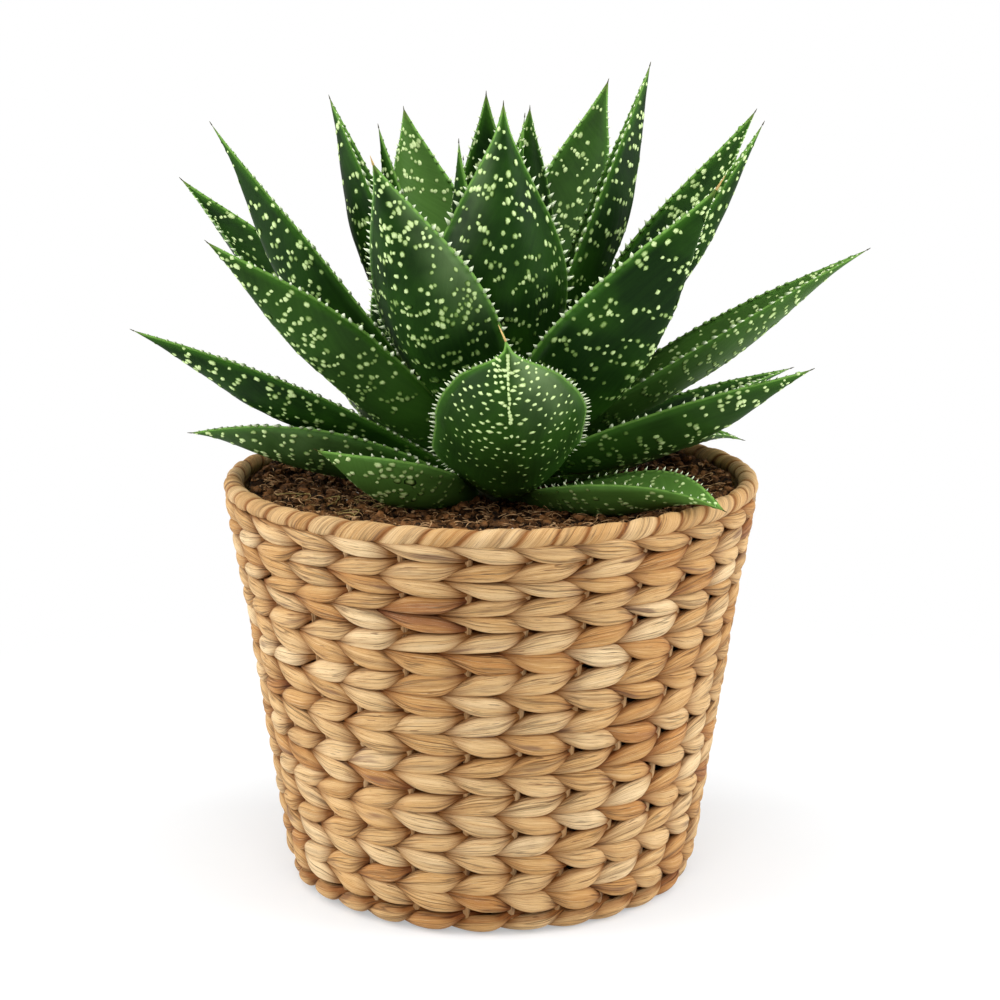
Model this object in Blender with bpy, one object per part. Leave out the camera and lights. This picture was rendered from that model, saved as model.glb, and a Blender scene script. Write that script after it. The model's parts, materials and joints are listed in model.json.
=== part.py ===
"""Potted gasteria: a toothed rosette in soil, in a lined basket twined from water hyacinth.

Metres, +Z up. The origin is the centre of the basket's flat underside, which stands on the floor.
Azimuths turn about +Z from +X, so a leaf at -90 degrees grows towards -Y, the front.
Run it with: blender --background --python part.py
"""

import math
from typing import NamedTuple

import bmesh
import bpy
from mathutils import Matrix, Vector

MM = 0.001
GAP = 0.3 * MM  # clear space kept between touching pieces

# Basket, from the floor up. The wall leans out and turns under in a round corner at its foot.
WALL_TOP = 119.6 * MM
WALL_OUTER_TOP = 80.0 * MM
WALL_OUTER_FOOT = 63.8 * MM
WALL_THICK = 7.6 * MM
CORNER = 8.0 * MM
BASE_RADIUS = 52.0 * MM
BASE_THICK = 6.0 * MM
RIM_ROPE = 3.3 * MM  # radius of the rope that closes the edge
WALL_STEPS = 48  # facets round the turned pieces

# What the basket holds.
LINER_THICK = 0.8 * MM
LINER_TOP = WALL_TOP + 1.8 * MM
SOIL_EDGE = 121.2 * MM
SOIL_CROWN = 116.0 * MM
PIT_FLOOR = 104.0 * MM  # bottom of the pocket in the soil that holds the foot of the stem
STEM_TIERS = 6.6  # the stem ends at the height of this tier

# The leaves sit on the stem in tiers, oldest and lowest first.
TIER_RISE = 4.4 * MM
FIRST_TIER = 122.5 * MM
FIRST_REACH = 12.0 * MM
TIER_DRAW_IN = 1.5 * MM
STEM_CLEAR = 1.0 * MM  # between the stem and the leaves' feet
STATIONS = 11  # cross-sections between a leaf's foot and its tip
FOOT_SHARE = 0.34  # a leaf's width at its foot, as a share of its widest
CHANNEL = 0.42  # how far the margins stand above the middle of the face, per half width
FLESH = 0.36  # thickness on the keel, per half width
ROUNDING = 1.7  # how the back falls away from the keel: 1 is a sharp ridge, 2 a round one
BACK_POINT = 0.55  # places across a section, in half widths, of its points on the back
FACE_POINT = 0.5  # and on the face

WALL_TAN = (0.60, 0.40, 0.19)
ROPE_TAN = (0.66, 0.46, 0.24)
SOIL_BROWN = (0.09, 0.045, 0.022)
LINER_BLACK = (0.03, 0.03, 0.03)
STEM_GREEN = (0.25, 0.35, 0.12)
LEAF_GREEN = (0.035, 0.135, 0.03)


class Leaf(NamedTuple):
    """One leaf. Angles in degrees, sizes in millimetres."""

    azimuth: float
    tier: float
    rise: float  # elevation of the midrib at the foot
    curl: float  # how much that elevation changes by the tip
    length: float
    width: float
    roll: float = 0.0  # turn of the blade about its midrib
    keel: float = 0.0  # sideways place of the ridge on the back, from -1 to 1
    bend: float = 1.0  # above 1, the curl gathers towards the tip
    shoulder: float = 0.5  # share of the length over which the blade tapers to its tip
    draw: float = 1.2  # below 1, the tip is round, and above 1, it is drawn out
    spread: float = 0.4  # share of the length over which the foot reaches full width
    sway: float = 0.0  # how much the azimuth changes by the tip


LEAVES = {
    "leaf_front": Leaf(-78, 0.8, 44, -1, 70, 44, roll=1, draw=0.8, spread=0.3, sway=-20),
    "leaf_front_left_low": Leaf(-128, -0.3, 23, -6, 58, 27, roll=18, spread=0.55, sway=-32),
    "leaf_front_right_low": Leaf(-46, -0.3, 17, -54, 80, 29, roll=-1, bend=2.6, spread=0.5, sway=9),
    "leaf_left_low": Leaf(-176, 0.3, 30, -42, 83, 33, roll=12),
    "leaf_left_long": Leaf(-172, 0.9, 32, -15, 107, 28, roll=11),
    "leaf_left_broad": Leaf(-152, 2.0, 46, -12, 108, 30, roll=18),
    "leaf_left_behind": Leaf(158, 1.5, 44, -7, 126, 27, roll=-12),
    "leaf_left_tall": Leaf(179, 2.6, 51, 3, 123, 34, roll=16, draw=1.6),
    "leaf_left_steep": Leaf(168, 4.2, 69, -7, 107, 34, roll=11),
    "leaf_front_left": Leaf(-119, 4.1, 57, -6, 104, 38, roll=6, shoulder=0.6),
    "leaf_centre_front": Leaf(-82, 5.1, 72, 10, 97, 42, roll=2, shoulder=0.6, draw=1.5),
    "leaf_centre_right": Leaf(61, 5.4, 71, 13, 91, 27, roll=-8),
    "leaf_centre_right_young": Leaf(29, 6.0, 86, -4, 85, 8, roll=8),
    "leaf_centre_back": Leaf(97, 5.8, 84, 2, 92, 22, roll=6),
    "leaf_centre_left_young": Leaf(200, 6.0, 83, 4, 78, 13, roll=19),
    "leaf_centre_bud": Leaf(185, 6.6, 85, 0, 70, 5, roll=4),
    "leaf_back_left": Leaf(118, 3.2, 62, -1, 109, 34, roll=1),
    "leaf_left_narrow": Leaf(168, 5.2, 69, 3, 90, 22, roll=21),
    "leaf_front_right": Leaf(-41, 2.9, 47, 1, 112, 39, roll=-14, keel=0.3, shoulder=0.6),
    "leaf_right_steep": Leaf(-8, 3.5, 47, 11, 120, 24, roll=6),
    "leaf_right_behind": Leaf(29, 2.7, 46, 5, 131, 28, roll=10),
    "leaf_right_tall": Leaf(9, 5.2, 66, 2, 112, 32, roll=-9),
    "leaf_back_right": Leaf(59, 4.2, 57, -2, 120, 28, roll=13),
    "leaf_right_long": Leaf(5, 2.0, 36, -13, 123, 30, roll=-2, draw=1.4),
    "leaf_right_low": Leaf(-12, 1.3, 22, -3, 93, 28, roll=-15),
    "leaf_right_low_behind": Leaf(24, 0.4, 23, -16, 98, 21, roll=-3),
    "leaf_right_lowest": Leaf(27, 0.0, 14, -51, 81, 22, roll=6, bend=3.0),
    "leaf_back_low": Leaf(92, -0.6, 27, -18, 79, 28),
    "leaf_back_low_left": Leaf(129, 0.5, 24, -15, 83, 25, roll=8),
    "leaf_back_mid_right": Leaf(64, 1.3, 36, -17, 95, 34, roll=-1),
    "leaf_back_mid_left": Leaf(118, 1.0, 38, -9, 89, 30, roll=6),
    "leaf_back_mid": Leaf(90, 2.3, 48, -6, 101, 36),
}


def clear_scene():
    for obj in list(bpy.data.objects):
        bpy.data.objects.remove(obj, do_unlink=True)


def material(name, colour, roughness, metallic=0.0):
    made = bpy.data.materials.new(name)
    made.use_nodes = True
    shader = made.node_tree.nodes["Principled BSDF"]
    shader.inputs["Base Color"].default_value = (*colour, 1.0)
    shader.inputs["Roughness"].default_value = roughness
    shader.inputs["Metallic"].default_value = metallic
    made.diffuse_color = (*colour, 1.0)
    return made


def add_object(name, bm, finish, smooth_under=math.radians(40)):
    """Turns a bmesh into a shaded object with its finish."""
    bmesh.ops.recalc_face_normals(bm, faces=bm.faces[:])
    mesh = bpy.data.meshes.new(name)
    bm.to_mesh(mesh)
    bm.free()
    mesh.materials.append(finish)
    mesh.shade_smooth()
    mesh.set_sharp_from_angle(angle=smooth_under)
    obj = bpy.data.objects.new(name, mesh)
    bpy.context.collection.objects.link(obj)
    return obj


def turned(name, outline, finish, steps=WALL_STEPS):
    """A closed outline of (radius, height) points, spun a full turn about the Z axis."""
    bm = bmesh.new()
    points = [bm.verts.new((radius, 0.0, height)) for radius, height in outline]
    edges = [bm.edges.new((a, b)) for a, b in zip(points, points[1:] + points[:1])]
    bmesh.ops.spin(
        bm,
        geom=points + edges,
        cent=(0, 0, 0),
        axis=(0, 0, 1),
        angle=math.tau,
        steps=steps,
        use_merge=True,
    )
    bmesh.ops.remove_doubles(bm, verts=bm.verts[:], dist=0.01 * MM)
    return add_object(name, bm, finish)


def wall_outer(height):
    """Outer radius of the wall above its round corner."""
    share = (height - CORNER) / (WALL_TOP - CORNER)
    return WALL_OUTER_FOOT + (WALL_OUTER_TOP - WALL_OUTER_FOOT) * share


def wall_inner(height):
    return wall_outer(height) - WALL_THICK


def make_wall(finish):
    turns = 5
    corner = [
        (
            WALL_OUTER_FOOT - CORNER + CORNER * math.sin(math.pi / 2 * i / turns),
            CORNER - CORNER * math.cos(math.pi / 2 * i / turns),
        )
        for i in range(turns + 1)
    ]
    inner_foot = BASE_RADIUS + GAP
    outline = [
        (inner_foot, 0.0),
        *corner,
        (wall_outer(WALL_TOP), WALL_TOP),
        (wall_inner(WALL_TOP), WALL_TOP),
        (wall_inner(CORNER), CORNER),
        (inner_foot, BASE_THICK),
    ]
    turned("basket_wall", outline, finish)


def make_base(finish):
    bm = bmesh.new()
    bmesh.ops.create_cone(
        bm,
        cap_ends=True,
        segments=WALL_STEPS,
        radius1=BASE_RADIUS,
        radius2=BASE_RADIUS,
        depth=BASE_THICK,
        matrix=Matrix.Translation((0, 0, BASE_THICK / 2)),
    )
    add_object("basket_base", bm, finish)


def make_rim_rope(finish):
    sides = 8
    middle = wall_outer(WALL_TOP) - RIM_ROPE + 0.4 * MM
    height = WALL_TOP + GAP + RIM_ROPE
    outline = [
        (
            middle + RIM_ROPE * math.cos(math.tau * (i + 0.5) / sides) / math.cos(math.pi / sides),
            height + RIM_ROPE * math.sin(math.tau * (i + 0.5) / sides) / math.cos(math.pi / sides),
        )
        for i in range(sides)
    ]
    turned("basket_rim_rope", outline, finish)


def liner_outer(height):
    return wall_inner(height) - GAP


def make_liner(finish):
    """The thin waterproof cup between the weave and the soil."""
    floor = BASE_THICK + GAP
    foot_height = CORNER + 2 * MM
    foot = BASE_RADIUS - MM
    outline = [
        (0.0, floor),
        (foot, floor),
        (liner_outer(foot_height), foot_height),
        (liner_outer(LINER_TOP), LINER_TOP),
        (liner_outer(LINER_TOP) - LINER_THICK, LINER_TOP),
        (liner_outer(foot_height) - LINER_THICK, foot_height + LINER_THICK / 2),
        (foot - LINER_THICK / 2, floor + LINER_THICK),
        (0.0, floor + LINER_THICK),
    ]
    turned("liner", outline, finish)


def tier_height(tier):
    return FIRST_TIER + TIER_RISE * tier


def tier_reach(tier):
    """How far from the axis the leaves of a tier start."""
    return FIRST_REACH - TIER_DRAW_IN * tier


def stem_radius(tier):
    return tier_reach(tier) - STEM_CLEAR


def make_soil(finish):
    """The root ball's soil, level round the stem and banked up to the rim, with a pocket for the stem."""
    inset = LINER_THICK + GAP
    floor = BASE_THICK + GAP + inset
    foot_height = CORNER + 2 * MM
    pit = stem_radius(0) + GAP
    outline = [
        (0.0, floor),
        (BASE_RADIUS - MM - inset, floor),
        (liner_outer(foot_height) - inset, foot_height + inset),
        (liner_outer(SOIL_EDGE) - inset, SOIL_EDGE),
        (liner_outer(SOIL_EDGE) * 0.6, SOIL_CROWN),
        (pit, SOIL_CROWN),
        (pit, PIT_FLOOR),
        (0.0, PIT_FLOOR),
    ]
    turned("soil", outline, finish)


def make_stem(finish):
    """The short stem that the leaves grow from: a foot in the soil, then a taper."""
    foot = PIT_FLOOR + GAP
    tip = stem_radius(STEM_TIERS)
    outline = [
        (0.0, foot),
        (stem_radius(0), foot),
        (stem_radius(0), tier_height(0)),
        (tip, tier_height(STEM_TIERS)),
        (0.0, tier_height(STEM_TIERS) + tip),
    ]
    turned("stem", outline, finish, steps=16)


def half_width(leaf, share):
    """Half the blade's width at a share of its length: narrow foot, full middle, drawn-out tip."""
    half = leaf.width * MM / 2
    if share < leaf.spread:
        swell = math.sin(math.pi / 2 * share / leaf.spread)
        return half * (FOOT_SHARE + (1 - FOOT_SHARE) * swell)
    left = min(1.0, (1 - share) / leaf.shoulder)
    return half * math.sin(math.pi / 2 * left) ** leaf.draw


def midrib(leaf):
    """(point, tangent, side) along the midrib, foot to tip. Side is level, to the leaf's left."""
    foot = math.radians(leaf.azimuth)
    reach = tier_reach(leaf.tier)
    point = Vector((reach * math.cos(foot), reach * math.sin(foot), tier_height(leaf.tier)))
    step = leaf.length * MM / STATIONS
    path = []
    for i in range(STATIONS + 1):
        share = i / STATIONS
        azimuth = foot + math.radians(leaf.sway) * share
        outward = Vector((math.cos(azimuth), math.sin(azimuth), 0.0))
        side = Vector((-math.sin(azimuth), math.cos(azimuth), 0.0))
        up = math.radians(leaf.rise + leaf.curl * share**leaf.bend)
        tangent = outward * math.cos(up) + Vector((0, 0, math.sin(up)))
        path.append((point.copy(), tangent, side))
        point += tangent * step
    return path


def channel(x):
    """Height of a leaf's hollow face below its margins, x half widths from the midrib."""
    return CHANNEL * (x * x - 1)


def thickness(leaf, x):
    """Depth of flesh between the face and the back: fullest on the keel, none at the margins."""
    run = 1 - leaf.keel if x > leaf.keel else 1 + leaf.keel
    return FLESH * (1 - abs((x - leaf.keel) / run) ** ROUNDING)


def section(leaf, share, point, tangent, side):
    """The points round one cross-section: margin, back, margin, face."""
    half = half_width(leaf, share)
    tilt = Matrix.Rotation(math.radians(leaf.roll), 3, tangent)
    across = tilt @ side * half
    above = tilt @ tangent.cross(side) * half
    back = [(x, channel(x) - thickness(leaf, x)) for x in (1, BACK_POINT, leaf.keel, -BACK_POINT, -1)]
    face = [(x, channel(x)) for x in (-FACE_POINT, 0, FACE_POINT)]
    return [point + across * x + above * y for x, y in back + face]


def make_leaf(name, leaf, finish):
    bm = bmesh.new()
    path = midrib(leaf)
    rings = [
        [bm.verts.new(p) for p in section(leaf, i / STATIONS, *path[i])]
        for i in range(STATIONS)
    ]
    tip = bm.verts.new(path[STATIONS][0])
    bm.faces.new(reversed(rings[0]))
    for low, high in zip(rings, rings[1:]):
        for i in range(len(low)):
            j = (i + 1) % len(low)
            bm.faces.new((low[i], low[j], high[j], high[i]))
    for i in range(len(rings[-1])):
        bm.faces.new((rings[-1][i], rings[-1][(i + 1) % len(rings[-1])], tip))
    return add_object(name, bm, finish)


def main():
    clear_scene()
    weave = material("dried water hyacinth weave", WALL_TAN, 0.75)
    make_wall(weave)
    make_base(weave)
    make_rim_rope(material("dried water hyacinth rope", ROPE_TAN, 0.7))
    make_liner(material("liner film", LINER_BLACK, 0.4))
    make_soil(material("coir soil", SOIL_BROWN, 0.95))
    make_stem(material("stem", STEM_GREEN, 0.5))
    leaf_skin = material("leaf skin", LEAF_GREEN, 0.35)
    for name, leaf in LEAVES.items():
        make_leaf(name, leaf, leaf_skin)


main()
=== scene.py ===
# %% [markdown]
# # A potted gasteria in a basket
#
# The plant is a rosette of thick, spotted leaves with small teeth on their margins. It grows in
# dark soil in a round basket, twined from dried water hyacinth and closed by a rope. The solids of
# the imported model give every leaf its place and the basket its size. This lesson gives them their
# surfaces: leaves with raised spots, strands that weave round stakes, and crumbly soil.

# %% Load the frame
import json
import math
import random

import bmesh
import bpy
import numpy as np
from mathutils import Matrix, Vector, noise

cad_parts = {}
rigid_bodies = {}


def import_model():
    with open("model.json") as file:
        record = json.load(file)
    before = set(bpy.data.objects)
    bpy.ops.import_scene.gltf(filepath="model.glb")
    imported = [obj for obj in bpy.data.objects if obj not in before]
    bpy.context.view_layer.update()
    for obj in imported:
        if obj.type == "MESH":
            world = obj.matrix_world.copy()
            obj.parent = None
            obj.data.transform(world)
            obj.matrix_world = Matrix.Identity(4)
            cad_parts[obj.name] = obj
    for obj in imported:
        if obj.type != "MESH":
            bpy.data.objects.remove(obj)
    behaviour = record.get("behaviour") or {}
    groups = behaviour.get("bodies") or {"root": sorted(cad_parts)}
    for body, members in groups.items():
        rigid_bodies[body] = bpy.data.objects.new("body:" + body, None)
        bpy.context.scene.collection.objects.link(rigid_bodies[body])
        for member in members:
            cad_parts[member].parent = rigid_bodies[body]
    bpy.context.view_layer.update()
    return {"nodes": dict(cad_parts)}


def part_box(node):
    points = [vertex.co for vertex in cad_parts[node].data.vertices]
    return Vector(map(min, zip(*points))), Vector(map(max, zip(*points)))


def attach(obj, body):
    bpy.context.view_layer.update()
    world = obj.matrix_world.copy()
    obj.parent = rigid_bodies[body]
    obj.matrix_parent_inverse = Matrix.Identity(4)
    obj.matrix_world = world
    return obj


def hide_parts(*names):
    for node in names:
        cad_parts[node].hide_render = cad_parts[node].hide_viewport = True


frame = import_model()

MM = 0.001

# %% [markdown]
# ## The camera
#
# A product view of a pot is taken from a little above, with a long lens that keeps the basket's
# sides nearly straight. The camera stands in front, on -Y, and only looks down by a fixed pitch.

# %% Place the camera
VIEW_PITCH = math.radians(12.62)
VIEW_LENS, SENSOR_WIDTH = 90.9, 36.0  # millimetres on the lens
VIEW_PLACE = Vector((2.76, -755.0, 286.0)) * MM

camera = bpy.data.objects.new("camera", bpy.data.cameras.new("camera"))
camera.data.lens = VIEW_LENS
camera.data.sensor_width = SENSOR_WIDTH
camera.location = VIEW_PLACE
camera.rotation_euler = (math.pi / 2 - VIEW_PITCH, 0.0, 0.0)
bpy.context.collection.objects.link(camera)
bpy.context.scene.camera = camera
print("camera at", tuple(round(x, 3) for x in camera.location))

# %% [markdown]
# ## A small language for materials
#
# A procedural material is arithmetic on coordinates, and arithmetic is easier to read as Python
# than as a cloud of nodes. `Wire` stands for one output of a node, and adding or multiplying wires
# adds the Math node that does it. `Finish` is a material that makes every other node by one method.

# %% Wires
class Wire:
    """One output of a shader node. Arithmetic on it adds Math nodes."""

    def __init__(self, finish, socket):
        self.finish = finish
        self.socket = socket

    def math(self, operation, *others):
        inputs = dict(enumerate((self, *others)))
        return self.finish.node("ShaderNodeMath", {"operation": operation}, inputs)

    def __add__(self, other):
        return self.math("ADD", other)

    __radd__ = __add__

    def __mul__(self, other):
        return self.math("MULTIPLY", other)

    __rmul__ = __mul__

    def __sub__(self, other):
        return self.math("SUBTRACT", other)

    def __rsub__(self, other):
        return (self * -1.0) + other

    def clamp(self):
        return self.math("MAXIMUM", 0.0).math("MINIMUM", 1.0)

    def step(self, low, high):
        """0 below low, 1 above high, smooth between."""
        inputs = {"Value": self, "From Min": low, "From Max": high}
        return self.finish.node(
            "ShaderNodeMapRange", {"interpolation_type": "SMOOTHSTEP"}, inputs
        )


print("wires can be added, subtracted and multiplied")

# %% Finishes
class Finish:
    """A material around one Principled BSDF."""

    def __init__(self, name, **constants):
        self.material = bpy.data.materials.new(name)
        self.material.use_nodes = True
        self.tree = self.material.node_tree
        self.shader = self.tree.nodes["Principled BSDF"]
        for key, value in constants.items():
            self.socket(key).default_value = value

    def socket(self, key):
        """An input of the shader, by its name in small letters with underscores."""
        return next(s for s in self.shader.inputs if s.name.lower() == key.replace("_", " "))

    def node(self, kind, settings=None, inputs=None, output=0):
        """Any node: its type, its settings, and the values or wires of its sockets."""
        made = self.tree.nodes.new(kind)
        for key, value in (settings or {}).items():
            if key != "stops":
                setattr(made, key, value)
                continue
            stops = made.color_ramp.elements
            while len(stops) < len(value):
                stops.new(1.0)
            for stop, (position, colour) in zip(stops, value):
                stop.position, stop.color = position, (*colour, 1.0)
        for key, value in (inputs or {}).items():
            if isinstance(value, Wire):
                self.tree.links.new(value.socket, made.inputs[key])
            else:
                made.inputs[key].default_value = value
        return Wire(self, made.outputs[output])

    def place(self):
        """The object's own coordinates, in metres."""
        return self.node("ShaderNodeTexCoord", output="Object")

    def along(self):
        """The piece's own map: length in metres, and the way round or across."""
        return self.node("ShaderNodeUVMap", {"uv_map": "along"})

    def mark(self, name):
        """A number that the mesh carries on its points."""
        return self.node("ShaderNodeAttribute", {"attribute_name": name}, output="Fac")

    def stretch(self, vector, scale):
        return self.node(
            "ShaderNodeVectorMath", {"operation": "MULTIPLY"}, {0: vector, 1: scale}
        )

    def noise(self, vector, scale=1.0, detail=2.0, roughness=0.5, distortion=0.0):
        inputs = {"Vector": vector, "Scale": scale, "Detail": detail, "Roughness": roughness}
        return self.node("ShaderNodeTexNoise", {}, {**inputs, "Distortion": distortion})

    def ramp(self, factor, *stops):
        return self.node("ShaderNodeValToRGB", {"stops": stops}, {"Fac": factor})

    def mix(self, factor, a, b, blend="MIX"):
        """From colour a to colour b."""
        colours = [c if isinstance(c, Wire) else (*c, 1.0) for c in (a, b)]
        return self.node(
            "ShaderNodeMix",
            {"data_type": "RGBA", "blend_type": blend, "clamp_factor": True},
            {0: factor, 6: colours[0], 7: colours[1]},
            output=2,
        )

    def coat(self, colour, *coats):
        """Lays coats over a colour in turn. Each is (how much of it shows, its colour)."""
        for share, paint in coats:
            colour = self.mix(share, colour, paint)
        return colour

    def feed(self, **wires):
        for key, wire in wires.items():
            self.tree.links.new(wire.socket, self.socket(key))

    def bump(self, height, distance, strength=1.0):
        inputs = {"Height": height, "Distance": distance, "Strength": strength}
        return self.node("ShaderNodeBump", {}, inputs)


print("materials are written as expressions from here on")

# %% [markdown]
# ## Floor and light
#
# The pot stands in a white studio: a pale floor that runs out of sight, a large soft lamp at each
# side, which makes the basket's flanks brighter than its middle, a weaker one in front, and one
# above for the leaves' sheen. The floor shows part of its light to the camera as plain white, so
# that it is white far away and still takes the pot's shadow.

# %% Floor
FLOOR_REACH = 40.0
FLOOR_COLOUR = (0.86, 0.88, 0.90, 1.0)
WHITE = (1.0, 1.0, 1.0, 1.0)
GLOW_NEAR, GLOW_FAR = 0.40, 1.0  # how much of the floor's look is plain white
GLOW_START, GLOW_END = 0.09, 0.32  # how far from the pot's axis that changes, in metres


def make_floor():
    bm = bmesh.new()
    bmesh.ops.create_grid(bm, x_segments=1, y_segments=1, size=FLOOR_REACH)
    mesh = bpy.data.meshes.new("floor")
    bm.to_mesh(mesh)
    bm.free()
    floor = bpy.data.objects.new("floor", mesh)
    bpy.context.collection.objects.link(floor)
    finish = Finish("pale floor", base_color=FLOOR_COLOUR, roughness=0.9)
    far = finish.node(
        "ShaderNodeVectorMath", {"operation": "LENGTH"}, {0: finish.place()}, "Value"
    )
    glow = GLOW_NEAR + far.step(GLOW_START, GLOW_END) * (GLOW_FAR - GLOW_NEAR)
    seen = finish.node("ShaderNodeLightPath", output="Is Camera Ray")
    mirrored = finish.node("ShaderNodeLightPath", output="Is Glossy Ray")
    white = finish.node("ShaderNodeEmission", {}, {"Color": WHITE, "Strength": 1.0})
    shaded = Wire(finish, finish.shader.outputs[0])
    share = seen.math("MAXIMUM", mirrored) * glow
    both = finish.node("ShaderNodeMixShader", {}, {0: share, 1: shaded, 2: white})
    surface = finish.tree.nodes["Material Output"].inputs["Surface"]
    finish.tree.links.new(both.socket, surface)
    mesh.materials.append(finish.material)


make_floor()
print("floor reaches", FLOOR_REACH, "m out")

# %% Lamps and world
LAMPS = {
    "left softbox": ((-1.15, -0.10, 0.55), (0.9, 1.2), 15.5),
    "right softbox": ((1.15, -0.10, 0.55), (0.9, 1.2), 15.5),
    "front softbox": ((0.0, -1.25, 1.00), (1.2, 0.8), 9.2),
    "top softbox": ((0.0, -0.15, 1.30), (1.1, 0.9), 10.2),
}
LAMP_AIM = Vector((0.0, 0.0, 0.12))
WORLD_LIGHT = 0.22


def make_lamp(name, place, size, power):
    lamp = bpy.data.lights.new(name, "AREA")
    lamp.shape = "RECTANGLE"
    lamp.size, lamp.size_y = size
    lamp.energy = power
    holder = bpy.data.objects.new(name, lamp)
    holder.location = place
    holder.rotation_euler = (LAMP_AIM - holder.location).to_track_quat("-Z", "Y").to_euler()
    bpy.context.collection.objects.link(holder)


for name, (place, size, power) in LAMPS.items():
    make_lamp(name, place, size, power)
world = bpy.data.worlds.new("studio")
world.use_nodes = True
sky = world.node_tree.nodes["Background"].inputs
sky["Color"].default_value, sky["Strength"].default_value = WHITE, WORLD_LIGHT
bpy.context.scene.world = world
bpy.context.scene.view_settings.view_transform = "Standard"
print("lamps:", ", ".join(LAMPS))

# %% [markdown]
# ## Bending a grid into a piece
#
# Strands, ropes, leaves and the soil are all one surface that runs along a line and round it. Each
# starts as a flat grid from `create_grid`, which also lays out its map. Its points are then moved
# to where a function of two shares, along and round, says, and the edges that meet are merged.

# %% Grid helpers
WELD = 0.004 * MM


def bend_grid(steps, sides, place, marks=(), stretch=(1.0, 1.0)):
    """A grid of steps by sides, bent by place(s, t) and welded. place also gives the marks."""
    bm = bmesh.new()
    along = bm.loops.layers.uv.new("along")
    layers = [bm.verts.layers.float.new(name) for name in marks]
    bmesh.ops.create_grid(bm, x_segments=steps, y_segments=sides, size=0.5, calc_uvs=True)
    flat = np.array([v.co[:2] for v in bm.verts]) + 0.5
    points, *values = place(flat[:, 0], flat[:, 1])
    for i, vert in enumerate(bm.verts):
        vert.co = points[i]
        for layer, value in zip(layers, values):
            vert[layer] = value[i]
    for face in bm.faces:
        for loop in face.loops:
            u, v = loop[along].uv
            loop[along].uv = (u * stretch[0], v * stretch[1])
    bmesh.ops.remove_doubles(bm, verts=bm.verts[:], dist=WELD)
    return bm


def show(name, bm, finish, slot, *nodes, smooth=True):
    """The finished piece: a named object at the origin that rides on the frame."""
    bmesh.ops.recalc_face_normals(bm, faces=bm.faces[:])
    mesh = bpy.data.meshes.new(name)
    bm.to_mesh(mesh)
    bm.free()
    mesh.materials.append(finish.material)
    if smooth:
        mesh.shade_smooth()
    piece = bpy.data.objects.new(name, mesh)
    bpy.context.collection.objects.link(piece)
    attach(piece, "root")
    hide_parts(*nodes)


def fill_ends(bm):
    """Closes every open edge of a bent grid, such as a strand's two ends."""
    bmesh.ops.holes_fill(bm, edges=[e for e in bm.edges if e.is_boundary])


def turned_about_z(radius, height, angle):
    """Points from radii, heights and angles."""
    return np.stack([radius * np.cos(angle), radius * np.sin(angle), height], axis=-1)


print("grids bend into pieces")

# %% [markdown]
# ## Dried water hyacinth
#
# The strands are flattened, dried stalks. They are cream to tan with some orange and brown ones,
# and show fine fibres along them, thin creases that are painted dark as painted shade, and now and
# then a long dark stain. The map on each strand runs along the stalk, so noise that is stretched
# along it gives fibres that follow every bend. Each pass over a stake carries its own tone, because
# the stalks are joined from short ones. Where a strand turns in behind its neighbour, and along its
# edges, it is painted browner and darker as painted shade, and so are the rope's grooves and the
# stakes behind the strands.

# %% The weave's finish
STRAW = (
    (0.0, (0.800, 0.590, 0.330)),
    (0.30, (0.680, 0.440, 0.200)),
    (0.58, (0.580, 0.325, 0.115)),
    (0.80, (0.490, 0.225, 0.062)),
    (1.0, (0.330, 0.135, 0.048)),
)
DARK_FIBRE, PALE_FIBRE = (0.300, 0.120, 0.030), (0.880, 0.700, 0.430)
# The crease and cleft colours are painted shade in the folds. The colour for tucked-in parts is
# painted shade, laid where strands turn in behind their neighbours, along their edges, in the
# rope's grooves and over the stakes.
STAIN, CRACK, CREASE_SHADE = (0.150, 0.062, 0.040), (0.140, 0.055, 0.018), (0.050, 0.020, 0.009)
CLEFT_SHADE, PAINTED_TUCK_SHADE = (0.090, 0.034, 0.014), (0.400, 0.230, 0.100)


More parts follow.
